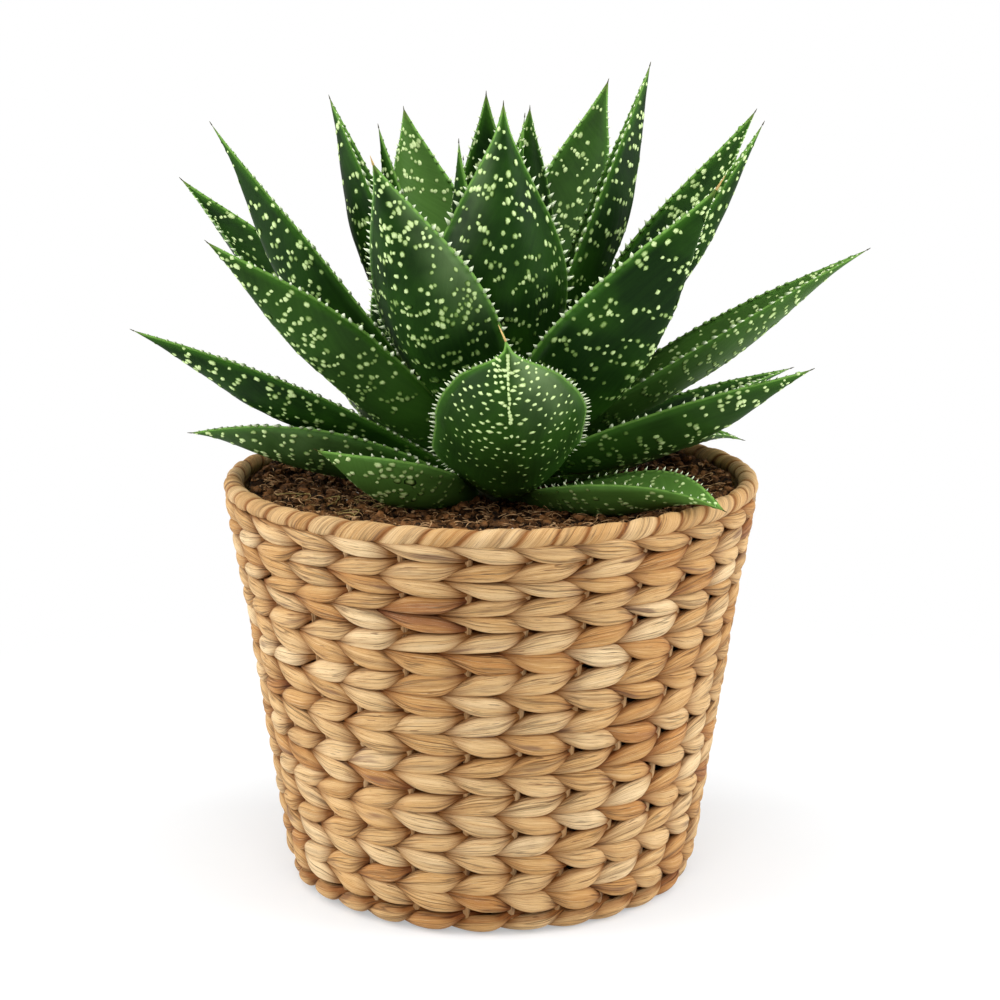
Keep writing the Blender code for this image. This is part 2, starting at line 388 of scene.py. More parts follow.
def hyacinth(name, creases=0.6, slant=0.0):
    """Dried stalk. slant turns its fibres from the length of the piece towards its girth."""
    finish = Finish(name, specular_ior_level=0.25)
    way = finish.along()
    length = finish.node("ShaderNodeSeparateXYZ", {}, {0: way}, "X")
    girth = finish.node("ShaderNodeSeparateXYZ", {}, {0: way}, "Y") + length * slant
    tone = finish.mark("tone")
    own = finish.node("ShaderNodeCombineXYZ", {}, {0: length, 1: girth, 2: tone * 0.3})

    def grain(*scale, **settings):
        return finish.noise(finish.stretch(own, scale), **settings)

    broad = grain(30.0, 260.0, 1.0, detail=3.0, roughness=0.6)
    fibres = grain(90.0, 3300.0, 1.0, detail=5.0, roughness=0.75)
    cracks = grain(150.0, 1500.0, 3.0).step(0.66, 0.72)
    folds = grain(26.0, 520.0, 1.0, detail=1.5, distortion=0.3)
    crease = (1.0 - ((folds - 0.5).math("ABSOLUTE") * 34.0).clamp()) * creases
    crease = crease * broad.step(0.40, 0.56)
    stains = grain(40.0, 190.0, 5.0).step(0.62, 0.72)
    colour = finish.coat(
        finish.ramp((tone - 0.5) * 0.8 + broad * 0.75 + 0.04, *STRAW),
        (fibres.step(0.50, 0.62) * 0.60, DARK_FIBRE),
        ((1.0 - fibres.step(0.34, 0.46)) * 0.45, PALE_FIBRE),
        (stains * 0.65, STAIN),
        (cracks * 0.7, CRACK),
        # The crease and cleft coats are painted shade in the folds.
        (crease * 0.85, CREASE_SHADE),
        (finish.mark("cleft") * 0.75, CLEFT_SHADE),
    )
    # Painted shade: darker and browner where a strand turns in behind its neighbour, along its
    # edges, in the rope's grooves and over the stakes.
    colour = finish.mix(finish.mark("tuck"), colour, PAINTED_TUCK_SHADE, "MULTIPLY")
    raised = fibres * 0.40 + broad * 0.8 - crease * 0.7
    finish.feed(
        base_color=colour,
        roughness=0.55 + fibres * 0.3,
        normal=finish.bump(raised, 0.9 * MM),
    )
    return finish


weave_finish = hyacinth("dried water hyacinth")
rope_finish = hyacinth("twisted water hyacinth", creases=0.45, slant=-1.35)
print("finishes:", weave_finish.material.name, "and", rope_finish.material.name)

# %% [markdown]
# ## How the basket is twined
#
# Upright stakes stand round the wall. A row is two strands that travel round together: at each
# stake one passes outside and the other inside, and they change places between stakes. Every other
# row is twisted the other way, so two rows together look like a line of arrowheads. Rows and stakes
# follow the wall's middle surface: a straight, leaning wall, a round corner at the foot, and the
# flat underside.

# %% The basket's middle surface
wall_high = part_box("basket_wall")[1]
rope_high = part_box("basket_rim_rope")[1]
STAKES = 28
STAKE_TURN = math.radians(-90.0 + 7.9)  # the first one stands just right of the front
STAKE_LEAN = math.radians(2.6)
WALL_TOP = wall_high.z
RIM_RADIUS = wall_high.x
FOOT_RADIUS = 63.8 * MM
CORNER = 8.0 * MM
HALF_WALL = 3.4 * MM
FLARE, FLARE_LENGTH = 0.9 * MM, 26.0 * MM  # the top rows bulge out under the rope
WEAVE_TOP = WALL_TOP + 2.0 * MM
OPEN_ROWS, OPEN_ROW = 14, 6.33 * MM
TIGHT_ROWS, TIGHT_ROW = 5, 5.25 * MM  # the top rows are packed closer
CORNER_ROW = 0.86 * OPEN_ROW

lean = math.atan2(RIM_RADIUS - FOOT_RADIUS, WALL_TOP - CORNER)
bend_radius = CORNER - HALF_WALL
bend_length = bend_radius * (math.pi / 2)
wall_length = (WEAVE_TOP - CORNER) / math.cos(lean)


def middle(distance):
    """(radius, height, direction up the wall) at a distance from the start of the straight wall."""
    if distance >= 0:
        flare = FLARE * max(0.0, 1 - (wall_length - distance) / FLARE_LENGTH)
        radius = FOOT_RADIUS - HALF_WALL + distance * math.sin(lean) + flare
        return radius, CORNER + distance * math.cos(lean), math.pi / 2 - lean
    if distance > -bend_length:
        turn = math.pi / 2 + distance / bend_radius
        radius = FOOT_RADIUS - CORNER + bend_radius * math.sin(turn)
        return radius, CORNER - bend_radius * math.cos(turn), turn
    return FOOT_RADIUS - CORNER + distance + bend_length, HALF_WALL, 0.0


def stake_angle(height):
    """Where the first stake stands at a height. Stakes lean a little as they rise."""
    return STAKE_TURN - STAKE_LEAN * (1 - height / WALL_TOP)


print("wall leans", round(math.degrees(lean), 1), "degrees over", round(wall_length / MM, 1), "mm")

# %% [markdown]
# ## One twined strand
#
# Seen from above, a strand weaves in and out, and seen from the front it also crosses its row from
# one edge to the other, so each visible pass is a slanted lobe, leaf-shaped and fullest past its
# stake. It comes out of the wall slowly and dives in again quickly, just before the next stake, and
# leaves a small dark gap there. A table gives that pass its shape. Every lobe gets its own size,
# place and tone, and many have a cleft where the flat stalk is folded.

# %% The pass of a strand over a stake
# Stakes from the one passed over, place in the row (1 at its outer edge), half height, and depth.
PASS = np.array((
    (-0.50, 0.82, 0.30, -0.10),
    (-0.30, 0.68, 0.42, 0.28),
    (-0.10, 0.44, 0.70, 0.64),
    (0.10, 0.16, 0.96, 0.90),
    (0.35, 0.00, 1.10, 1.00),
    (0.60, -0.08, 1.02, 0.90),
    (0.80, -0.34, 0.72, 0.52),
    (0.92, -0.60, 0.42, 0.02),
    (1.02, -0.68, 0.30, -0.60),
    (1.30, -0.20, 0.34, -0.95),
))


def pass_value(x, column):
    """A column of the table at x, eased, the same for every second stake."""
    near = [np.interp(x + d, PASS[:, 0], PASS[:, column], period=2.0) for d in (-0.06, 0.0, 0.06)]
    return sum(near) / 3


print("a pass is drawn through", len(PASS), "places")

# %% What differs from lobe to lobe
# How far each lobe may differ from the next: its tone, half height, place up and out, tilt, place
# along the row, and how deep and how far from its middle its cleft is.
LOBE_SPREADS = (0.66, 0.22, 0.60 * MM, 0.35 * MM, 0.32, 0.13, 0.75, 0.45)
DRIFT = 0.07
SWAY = 0.35 * MM


def per_lobe(rng, lobes, spread):
    """A random value for each lobe of a strand. It changes at the lobe's start, out of sight."""
    values = np.array([rng.uniform(-1, 1) * rng.random() ** 0.7 * spread for _ in range(lobes)])

    def at(x):
        share = np.clip(np.mod(x, 1.0) / 0.1, 0.0, 1.0)
        index = np.floor(x).astype(int)
        return values[(index - 1) % lobes] * (1 - share) + values[index % lobes] * share

    return at


drift_rng = random.Random(5)
STAKE_DRIFT = np.array([drift_rng.uniform(-DRIFT, DRIFT) for _ in range(STAKES)])


def drift(x):
    """How far the stakes near x stand from their even spacing, in pitches."""
    return np.interp(x, np.arange(STAKES), STAKE_DRIFT, period=STAKES)


def sway(angle, height):
    """Rows rise and dip a little on their way round, and their neighbours with them."""
    wave = np.sin(2 * angle + 40 * height) + 0.7 * np.sin(5 * angle - 70 * height + 1.0)
    return SWAY * wave


print("stakes stand up to", DRIFT, "pitches off their place")

# %% One strand
STEPS_PER_LOBE, STRAND_SIDES = 24, 18
STRAND_GIRTH = 15.0 * MM
STRAND_MARKS = ("tone", "cleft", "tuck")
RESTS = 0.05 * MM  # nothing goes lower than this, so the foot stands flat on the floor


def rounded(value, power):
    """A sine or cosine made fuller, which squares the section that it draws."""
    return np.sign(value) * np.abs(value) ** power


def twined_strand(rng, ring, slope, turn_on, stakes, swing, thick):
    """A strand of a row. A ring is (radius, height, up, row height). Slope 1 falls to the right."""
    radius, height, up, row_height = ring
    lobes = stakes // 2
    half_row = row_height / 2
    pitch = math.tau / stakes
    start = stake_angle(height) + math.pi
    varied = [per_lobe(rng, lobes, spread) for spread in LOBE_SPREADS]
    squash = rng.uniform(0.85, 1.0)

    def place(s, t):
        x = s * stakes - 0.75  # the strand starts and ends behind a stake
        lobe = (x - 1.3) / 2.0
        tone, plump, shift, proud, tilt, pull, fold, fold_at = (vary(lobe) for vary in varied)
        rise, half, deep = (pass_value(x + pull, column) for column in (1, 2, 3))
        showing = np.clip(deep, 0.0, 1.0)
        turn = math.tau * (t - 0.5)
        turn = turn - 0.45 * np.sin(turn)  # more points on the outer side
        across = rounded(np.sin(turn), squash)
        through = rounded(np.cos(turn), 0.75)
        depth = thick * (0.62 + 0.38 * half)
        # The fold narrows the strand here. The finish also paints it darker, as painted shade in
        # the fold.
        cleft = np.clip(fold, 0.0, 1.0) * showing * (np.cos(turn) > 0)
        cleft = cleft * np.exp(-((across - fold_at) / 0.22) ** 2)
        tall = half_row * half * (1 + plump * showing)
        roll = tilt * showing
        lift = slope * half_row * rise + shift * showing
        v = lift + tall * across * np.cos(roll) - depth * through * np.sin(roll)
        w = swing * deep + proud * showing + depth * through * (1 - 0.42 * cleft)
        w = w + tall * across * np.sin(roll) * 0.5
        angle = start + pitch * (x + turn_on + drift(x + turn_on + STAKES // 2))
        # Painted shade: marked darker where the strand dives in behind its neighbour, and along its
        # two edges.
        tuck = np.clip(1.1 - 1.2 * deep, 0.0, 1.0) + 0.75 * np.abs(across) ** 9
        if up > 0.1:
            v = v + sway(angle, height)
        r = radius + math.sin(up) * w + math.cos(up) * v
        z = np.maximum(height - math.cos(up) * w + math.sin(up) * v, RESTS)
        return turned_about_z(r, z, angle), tone + 0.5, cleft, np.clip(tuck, 0.0, 1.0)

    stretch = (math.tau * radius, STRAND_GIRTH)
    bm = bend_grid(STEPS_PER_LOBE * lobes, STRAND_SIDES, place, STRAND_MARKS, stretch)
    slip = rng.uniform(0, 9)  # each strand's map starts elsewhere, so no two look the same
    layer = bm.loops.layers.uv["along"]
    for face in bm.faces:
        for loop in face.loops:
            loop[layer].uv[0] += slip
    return bm


print("a strand has", STEPS_PER_LOBE, "steps to a lobe")

# %% Two strands make a row
DEPTH_SWING = 1.6 * MM
HALF_THICK = 2.25 * MM


def join(target, part):
    """Adds one bmesh to another."""
    mesh = bpy.data.meshes.new("part")
    part.to_mesh(mesh)
    part.free()
    target.from_mesh(mesh)
    bpy.data.meshes.remove(mesh)


def empty_weave():
    """A bmesh that is ready to take strands."""
    bm = bmesh.new()
    for name in STRAND_MARKS:
        bm.verts.layers.float.new(name)
    bm.loops.layers.uv.new("along")
    return bm


def twined_row(seed, ring, slope, stakes=STAKES, swing=DEPTH_SWING, thick=HALF_THICK):
    """Both strands of a row."""
    row = empty_weave()
    for turn_on in (0, 1):
        rng = random.Random(seed * 2 + turn_on)
        join(row, twined_strand(rng, ring, slope, turn_on, stakes, swing, thick))
    return row


print("strands swing", DEPTH_SWING / MM, "mm in and out")

# %% Wall rows
def row_centres():
    """(distance up the wall, row height, slope) of each row, from the corner to the rope."""
    rows = [(-bend_length / 2, CORNER_ROW, -1)]
    heights = [OPEN_ROW] * OPEN_ROWS + [TIGHT_ROW] * TIGHT_ROWS
    stretch = wall_length / sum(heights)
    at = 0.0
    for i, size in enumerate(heights):
        size *= stretch
        rows.append((at + size / 2, size, 1 if i % 2 == 0 else -1))
        at += size
    return rows


wall_rows = row_centres()
for number, (distance, size, slope) in enumerate(wall_rows):
    row = twined_row(number, (*middle(distance), size), slope)
    show(f"row_{number + 1:02d}", row, weave_finish, "weave", "basket_wall")
print(len(wall_rows), "rows, the lowest at", round(middle(wall_rows[0][0])[1] / MM, 1), "mm")

# %% [markdown]
# ## Stakes
#
# The stakes are the ribs of the basket. They show only in the small gaps at the arrow points, as
# short upright bits, and they run from the underside round the corner and up to the rope.

# %% Stakes
STAKE_HALF_WIDTH = 1.15 * MM
STAKE_HALF_DEPTH = 1.2 * MM
STAKE_START = -bend_length - 30.0 * MM
STAKE_GIRTH = 9.0 * MM
STAKE_STEPS, STAKE_SIDES = 44, 8
# Painted shade: the stakes are painted this much darker for standing behind the strands.
STAKE_PAINTED_SHADE = 0.55  # how dim they are behind the strands


def stake_grid(rng, index):
    tone = rng.uniform(0.0, 0.35)
    wobble = rng.uniform(-0.3, 0.3) * MM

    def place(s, t):
        points = []
        for share, way_round in zip(s, t):
            distance = STAKE_START + (wall_length - STAKE_START) * share
            radius, height, up = middle(distance)
            turn = math.tau * way_round
            angle = stake_angle(height) + math.tau * (index + STAKE_DRIFT[index]) / STAKES
            angle += (STAKE_HALF_WIDTH * math.sin(turn) + wobble) / max(radius, 20 * MM)
            deep = STAKE_HALF_DEPTH * math.cos(turn)
            r = radius + math.sin(up) * deep
            points.append((r * math.cos(angle), r * math.sin(angle), height - math.cos(up) * deep))
        same = np.ones(len(points))
        return points, tone * same, 0.0 * same, STAKE_PAINTED_SHADE * same

    stretch = (wall_length - STAKE_START, STAKE_GIRTH)
    return bend_grid(STAKE_STEPS, STAKE_SIDES, place, STRAND_MARKS, stretch)


stakes = empty_weave()
stake_rng = random.Random(11)
for index in range(STAKES):
    join(stakes, stake_grid(stake_rng, index))
fill_ends(stakes)
show("stakes", stakes, weave_finish, "weave", "basket_wall")
print(STAKES, "stakes,", round(math.tau * RIM_RADIUS / STAKES / MM, 1), "mm apart at the rim")

# %% [markdown]
# ## Underside
#
# The same twining closes the foot. The rings get shorter towards the middle, so the inner ones pass
# fewer stakes, and a small knot fills the last gap.

# %% Base rings
BASE_MIDDLE = 3.2 * MM
BASE_SWING, BASE_THICK = 1.3 * MM, 1.7 * MM
BASE_STAKES = ((34 * MM, 28), (15 * MM, 14), (0, 8))  # stakes of the rings outside each radius
KNOT_RADIUS, KNOT_FLAT = 3.4 * MM, 0.7

base_edge = FOOT_RADIUS - CORNER
ring_count = int(base_edge / OPEN_ROW)
ring_step = base_edge / (ring_count + 0.35)
for i in range(ring_count):
    radius = base_edge - ring_step * (i + 0.5)
    stakes_here = next(count for inside, count in BASE_STAKES if radius > inside)
    ring = (radius, BASE_MIDDLE, 0.0, ring_step)
    row = twined_row(100 + i, ring, 1 if i % 2 else -1, stakes_here, BASE_SWING, BASE_THICK)
    show(f"base_ring_{i + 1}", row, weave_finish, "weave", "basket_base")
knot = bmesh.new()
bmesh.ops.create_uvsphere(knot, u_segments=24, v_segments=12, radius=KNOT_RADIUS)
bmesh.ops.scale(knot, vec=(1.0, 1.0, KNOT_FLAT), verts=knot.verts[:])
bmesh.ops.translate(knot, vec=(0.0, 0.0, BASE_MIDDLE), verts=knot.verts[:])
show("base_knot", knot, weave_finish, "weave", "basket_base")
print("base rings:", ring_count)

# %% [markdown]
# ## The rope at the rim
#
# The edge is closed by a rope laid round the top of the wall: one stalk that winds round and round.
# It is a single tube with one groove that runs round it like a screw thread, a wrap for each turn.
# Every wrap has its own tone and fullness, and its fibres lie nearly along the groove.

# %% Rim rope
WRAPS, WRAP_STEPS, ROPE_SIDES = 44, 24, 20
ROPE_HALF = 2.95 * MM
ROPE_RADIUS = rope_high.x - 2.05 * MM
ROPE_HEIGHT = rope_high.z - ROPE_HALF
ROPE_GIRTH = 18.5 * MM
ROPE_TONES, ROPE_FULLNESS = (0.25, 0.70), (0.21, 0.31)
ROPE_SEAM = math.radians(-135)  # the grid's long edges meet here, low on the inner side


def wrapped_rope(seed):
    rng = random.Random(seed)
    tones = np.array([rng.uniform(*ROPE_TONES) for _ in range(WRAPS)])
    fuller = np.array([rng.uniform(*ROPE_FULLNESS) for _ in range(WRAPS)])
    folds = np.array([(rng.uniform(0.25, 0.75), rng.uniform(-0.6, 1.0)) for _ in range(WRAPS)])

    def place(s, t):
        uneven = 0.22 * np.sin(math.tau * 5 * s + 1.0) + 0.14 * np.sin(math.tau * 13 * s)
        x = WRAPS * s - t + uneven  # counted in wraps
        wrap = np.floor(x).astype(int) % WRAPS
        within = np.mod(x, 1.0)
        full = np.sin(math.pi * within ** 0.85)
        fold_at, fold = folds[wrap].T
        folded = np.exp(-((within - fold_at) / 0.06) ** 2) * np.clip(fold, 0, 1)
        half = ROPE_HALF * (0.75 + fuller[wrap] * full ** 0.65 - 0.10 * folded)
        turn = math.tau * t + ROPE_SEAM
        lift = 0.25 * MM * np.sin(math.tau * 3 * s + 1.0)
        radius = ROPE_RADIUS + half * np.cos(turn)
        height = ROPE_HEIGHT + half * np.sin(turn) + lift
        # Painted shade in the groove where two wraps meet, and a little over the whole rope. The
        # fold is painted darker too, as painted shade.
        groove_shade = np.clip(1.15 - full * 2.5, 0.0, 1.0)
        points = turned_about_z(radius, height, math.tau * s + math.pi / 2)
        return points, tones[wrap], folded * 0.6, np.clip(groove_shade + 0.1, 0.0, 1.0)

    stretch = (math.tau * ROPE_RADIUS, ROPE_GIRTH)
    return bend_grid(WRAP_STEPS * WRAPS, ROPE_SIDES, place, STRAND_MARKS, stretch)


show("rim_rope", wrapped_rope(40), rope_finish, "rim_rope", "basket_rim_rope")
print("the rope makes", WRAPS, "wraps round the rim")

# %% [markdown]
# ## Liner and stem
#
# The liner is a thin film cup between the weave and the soil. It keeps its plain solid and gets
# creases, because the rope and the loose soil leave no more than a thin line of it in sight. The
# stem also keeps its solid, hidden by the leaves, and gets a fibrous, fleshy green.

# %% Liner and stem finishes
FILM = ((0.012, 0.012, 0.013), (0.04, 0.04, 0.042))
STEM = ((0.25, (0.02, 0.03, 0.008)), (0.6, (0.05, 0.06, 0.02)), (0.85, (0.11, 0.09, 0.04)))

liner_finish = Finish("liner film")
film_creases = liner_finish.noise(liner_finish.place(), scale=220.0, detail=4.0)
liner_finish.feed(
    base_color=liner_finish.mix(film_creases, *FILM),
    roughness=0.35 + film_creases * 0.3,
    normal=liner_finish.bump(film_creases, 0.6 * MM, 0.6),
)
stem_finish = Finish("stem flesh")
stem_grain = stem_finish.noise(
    stem_finish.stretch(stem_finish.place(), (900.0, 900.0, 120.0)), detail=3.0
)
stem_finish.feed(
    base_color=stem_finish.ramp(stem_grain, *STEM),
    roughness=0.4 + stem_grain * 0.3,
    normal=stem_finish.bump(stem_grain, 0.8 * MM, 0.7),
)
for node, finish in (("liner", liner_finish), ("stem", stem_finish)):
    frame["nodes"][node].material_slots[0].material = finish.material
print("liner and stem finished")

# %% [markdown]
# ## Soil
#
# Potting soil is coir and bark: dark crumbs, brown threads, chips, and a few white grains of
# perlite. A bent grid gives the lumpy top and the plain sides of the root ball. Crumbs, chips,
# grains and threads are then strewn over it as small shapes, each turned and squashed at random.

# %% Soil finishes
# The dark and the light colour of each, how fine its grain is, and its roughness.
SOIL_STUFFS = {
    "coir soil": ((0.004, 0.002, 0.001), (0.060, 0.025, 0.009), 600.0, 0.95),
    "soil crumbs": ((0.006, 0.003, 0.001), (0.240, 0.105, 0.036), 330.0, 0.6),
    "bark chips": ((0.120, 0.055, 0.022), (0.620, 0.380, 0.190), 500.0, 0.5),
    "coir threads": ((0.18, 0.080, 0.030), (0.75, 0.470, 0.230), 300.0, 0.5),
    "root threads": ((0.20, 0.15, 0.045), (0.44, 0.34, 0.13), 400.0, 0.95),
    "perlite": ((0.65, 0.60, 0.52), (0.90, 0.88, 0.82), 600.0, 0.8),
}


def soil_stuff(name, dark, light, scale, roughness):
    finish = Finish(name, roughness=roughness, specular_ior_level=0.10)
    grain = finish.noise(finish.place(), scale=scale, detail=4.0, roughness=0.65)
    finish.feed(
        base_color=finish.ramp(grain, (0.38, dark), (0.66, light)),
        normal=finish.bump(grain, 0.6 * MM, 0.9),
    )
    return finish


soil_finishes = {name: soil_stuff(name, *look) for name, look in SOIL_STUFFS.items()}
print("soil finishes:", ", ".join(soil_finishes))

# %% Root ball
soil_low, soil_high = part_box("soil")
SOIL_RADIUS = soil_high.x
SOIL_FOOT = 48.0 * MM
SOIL_DIP = 2.6 * MM  # the level round the stem is this much below the edge
SOIL_LIP = 2.5 * MM  # how far the loose top spreads over the liner, up to the rope
SOIL_BANK = 1.5 * MM  # how much more it rises there
DIP_SHARE, BANK_SHARE = 0.6, 0.9  # shares of the radius where the two rises begin
TOP_SHARE = 0.62  # share of the grid's rows that make the top; the rest make side and bottom
SIDE_SHARE = 0.8  # share of those that make the side
SOIL_STEPS, SOIL_RINGS = 220, 110


def soil_height(x, y):
    """Height of the lumpy top at a place."""
    far = math.hypot(x, y) / SOIL_RADIUS
    dip = min(1.0, (1.0 - far) / (1.0 - DIP_SHARE))
    banked = SOIL_BANK * min(1.0, max(0.0, (far - BANK_SHARE) / 0.1))
    lumps = noise.fractal(Vector((x, y, 0.0)) * 95.0, 0.7, 2.1, 4)
    fine = noise.fractal(Vector((x, y, 0.3)) * 420.0, 0.8, 2.0, 3)
    return soil_high.z - SOIL_DIP * dip + banked + (1.4 * lumps + 1.2 * fine) * MM


def soil_place(s, t):
    points = []
    for share, out in zip(s, t):
        angle = math.tau * share
        if out <= TOP_SHARE:
            radius = (SOIL_RADIUS + SOIL_LIP) * out / TOP_SHARE
            x, y = radius * math.cos(angle), radius * math.sin(angle)
            points.append((x, y, soil_height(x, y)))
            continue
        down = (out - TOP_SHARE) / (1 - TOP_SHARE)
        side = min(1.0, down / SIDE_SHARE)
        radius = SOIL_RADIUS + (SOIL_FOOT - SOIL_RADIUS) * side
        if down > SIDE_SHARE:
            radius = SOIL_FOOT * (1 - down) / (1 - SIDE_SHARE)
        height = soil_high.z + (soil_low.z - soil_high.z) * side
        points.append((radius * math.cos(angle), radius * math.sin(angle), height))
    return (points,)


root_ball = bend_grid(SOIL_STEPS, SOIL_RINGS, soil_place)
show("root_ball", root_ball, soil_finishes["coir soil"], "soil", "soil")
print("soil top between", round(soil_low.z / MM), "and", round(soil_high.z / MM), "mm")

# %% Crumbs, chips and grains
STEM_ROOM = 10 * MM  # nothing is strewn this close to the middle


def strewn(rng, inner, outer):
    """A random place on the soil."""
    radius = math.sqrt(rng.uniform(inner**2, outer**2))
    angle = rng.uniform(0, math.tau)
    x, y = radius * math.cos(angle), radius * math.sin(angle)
    return Vector((x, y, soil_height(x, y)))


def strew_lumps(name, finish, seed, count, small, large, flat):
    """Lumps of sizes from small to large, in mm. flat is their height against their width."""
    rng = random.Random(seed)
    heap = bmesh.new()
    for _ in range(count):
        size = rng.uniform(small, large) * MM
        spot = strewn(rng, STEM_ROOM, SOIL_RADIUS + 1.5 * MM)
        turn = Matrix.Rotation(rng.uniform(0, math.tau), 4, "Z")
        turn = turn @ Matrix.Rotation(rng.uniform(-0.9, 0.9), 4, "X")
        shape = Matrix.Diagonal((size * rng.uniform(0.7, 1.9), size, size * flat, 1.0))
        place = Matrix.Translation(spot + Vector((0, 0, size * flat * 0.5))) @ turn @ shape
        made = bmesh.ops.create_icosphere(heap, subdivisions=1, radius=1.0, matrix=place)
        for vert in made["verts"]:
            vert.co += Vector([rng.uniform(-0.22, 0.22) * size for _ in range(3)])
    show(name, heap, soil_finishes[finish], "soil", "soil", smooth=False)
    print(name, count)


strew_lumps("soil_crumbs", "soil crumbs", 1, count=4000, small=0.3, large=1.5, flat=0.7)
strew_lumps("bark_chips", "bark chips", 2, count=420, small=0.3, large=1.1, flat=0.4)
strew_lumps("perlite_grains", "perlite", 3, count=60, small=0.25, large=0.5, flat=0.8)

# %% Threads
THREAD_HALF = 0.15 * MM
THREAD_STEPS, THREAD_SIDES = 8, 4
BARE_SOIL = (34, 64)  # radii in mm between which the leaves leave the soil in sight


def strew_threads(name, finish, seed, count, short, long, angles=None):
    """Arched threads, short to long in mm, all over the soil or between two angles in degrees."""
    rng = random.Random(seed)
    heap = bmesh.new()
    for _ in range(count):
        length = rng.uniform(short, long) * MM
        spot = strewn(rng, STEM_ROOM + 2 * MM, SOIL_RADIUS - 1 * MM)
        if angles:
            angle = math.radians(rng.uniform(*angles))
            radius = rng.uniform(*BARE_SOIL) * MM
            spot = Vector((radius * math.cos(angle), radius * math.sin(angle), 0.0))
            spot.z = soil_height(spot.x, spot.y)
        heading = rng.uniform(0, math.tau)
        curve = rng.uniform(-2.6, 2.6)
        arch = rng.uniform(0.05, 0.45) * length * 0.45

        def place(s, t):
            turn = heading + curve * (s - 0.5)
            x = spot.x + length * (s - 0.5) * np.cos(turn)
            y = spot.y + length * (s - 0.5) * np.sin(turn)
            z = spot.z + 0.5 * MM + arch * np.sin(math.pi * s)
            half = THREAD_HALF * np.sin(math.pi * np.clip(s, 0.03, 0.97)) ** 0.4
            ring = math.tau * t
            x = x - half * np.cos(ring) * np.sin(turn)
            y = y + half * np.cos(ring) * np.cos(turn)
            return (np.stack([x, y, z + half * np.sin(ring)], axis=-1),)

        thread = bend_grid(THREAD_STEPS, THREAD_SIDES, place)
        fill_ends(thread)
        join(heap, thread)
    show(name, heap, soil_finishes[finish], "soil", "soil")
    print(name, count)


strew_threads("coir_threads", "coir threads", 4, count=1500, short=2, long=7)
strew_threads("root_threads", "root threads", 5, count=16, short=8, long=17, angles=(195, 225))

# %% [markdown]
# ## Reading a leaf from its solid
#
# Each leaf's solid is a row of eight-point sections that end in a tip. The finished leaf has to
# keep that place and bend, so its sections are read back from the solid: start at the tip, walk
# outwards ring by ring, and order every ring from one margin, over the keel on the back, to the
# other margin, and back over the face. Every ring is sorted by place first, so that the same margin
# comes first in every run. A smooth curve through them, both ways, gives the fine surface.

# %% Rings of a leaf's solid
HEART = Vector((0.0, 0.0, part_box("stem")[0].z))


def ring_levels(bm):
    """The tip and the rings of points round it, down to the foot, each from left to right."""
    tip = max(bm.verts, key=lambda v: (v.co - HEART).length)
    seen, levels = {tip}, [[tip]]
    while True:
        ring = {e.other_vert(v) for v in levels[-1] for e in v.link_edges} - seen
        if not ring:
            return levels
        seen |= ring
        levels.append(sorted(ring, key=lambda v: tuple(v.co)))


def ordered(ring, start):
    """The ring's points in order round it. An edge of the foot's flat end isn't followed."""
    members = set(ring)

    def steps(vert):
        for edge in vert.link_edges:
            other = edge.other_vert(vert)
            side = any(set(f.verts) - members for f in edge.link_faces)
            if other in members and side:
                yield other

    path = [start]
    while len(path) < len(ring):
        path.append(next(v for v in steps(path[-1]) if v not in path))
    return path


def margins(ring):
    """The two points of a ring that are farthest apart, the left one first."""
    pairs = [(a, b) for i, a in enumerate(ring) for b in ring[i + 1:]]
    return max(pairs, key=lambda p: (p[0].co - p[1].co).length)


print("leaves grow out from", tuple(round(x, 3) for x in HEART))

# %% Leaf sections
def leaf_sections(node):
    """An array of sections, foot to tip: margin, back, keel, back, margin, face, midrib, face."""
    bm = bmesh.new()
    bm.from_mesh(frame["nodes"][node].data)
    bmesh.ops.remove_doubles(bm, verts=bm.verts[:], dist=0.01 * MM)
    levels = ring_levels(bm)
    rows, last = [], None
    for ring in levels[1:]:
        a, b = margins(ring)
        if last is not None and (b.co - last).length < (a.co - last).length:
            a, b = b, a
        path = ordered(ring, a)
        chord = (path[4].co - path[0].co).normalized()

        def off_chord(vert):
            away = vert.co - path[0].co
            return (away - chord * away.dot(chord)).length

        if off_chord(path[6]) > off_chord(path[2]):
            path = [path[0]] + path[:0:-1]
        last = a.co.copy()
        rows.append([v.co.copy() for v in path])
    tip = levels[0][0].co.copy()
    bm.free()
    return np.array(rows[::-1] + [[tip] * 8])


leaf_nodes = sorted(n for n in frame["nodes"] if n.startswith("leaf_"))
sections = {node: leaf_sections(node) for node in leaf_nodes}
print(len(sections), "leaves of", len(sections["leaf_front"]) - 1, "sections")

# %% The front leaf's tip
def drawn_out(rows):
    """The front leaf's round end gets shoulders and a thin tip that leans a little to the left."""
    tip, last = rows[-1][0], rows[-2]
    centre = (last[0] + last[4]) / 2
    shape = last - centre
    neck = centre + (tip - centre) * 0.55
    end = tip + np.array((-0.7, -0.3, 2.2)) * MM
    slim = [centre + shape * 0.60, neck + shape * 0.22, tip + shape * 0.10]
    return np.concatenate([rows[:-2], np.array(slim), np.array([[end] * 8])])


sections["leaf_front"] = drawn_out(sections["leaf_front"])
print("the front leaf now has", len(sections["leaf_front"]) - 1, "sections")

# %% [markdown]
# ## The leaf's skin
#
# A gasteria leaf is dark, satin green, paler along its margins and towards its foot. Its spots are
# raised and pale, its teeth are nearly white, and its tip dries to a brown point. The mesh marks
# how far each point is from the foot and from the margin, and how much it belongs to a spot or a
# tooth. Coats of colour are laid over the dark green in turn: fresher greens, a paler green on some
# inner faces and, as painted light, over whole leaves, a grey on some flanks that is partly the
# leaf's bloom and partly painted sheen, the margin's line and the dry tip first, then spots, teeth
# and bristle, so that nothing covers those.

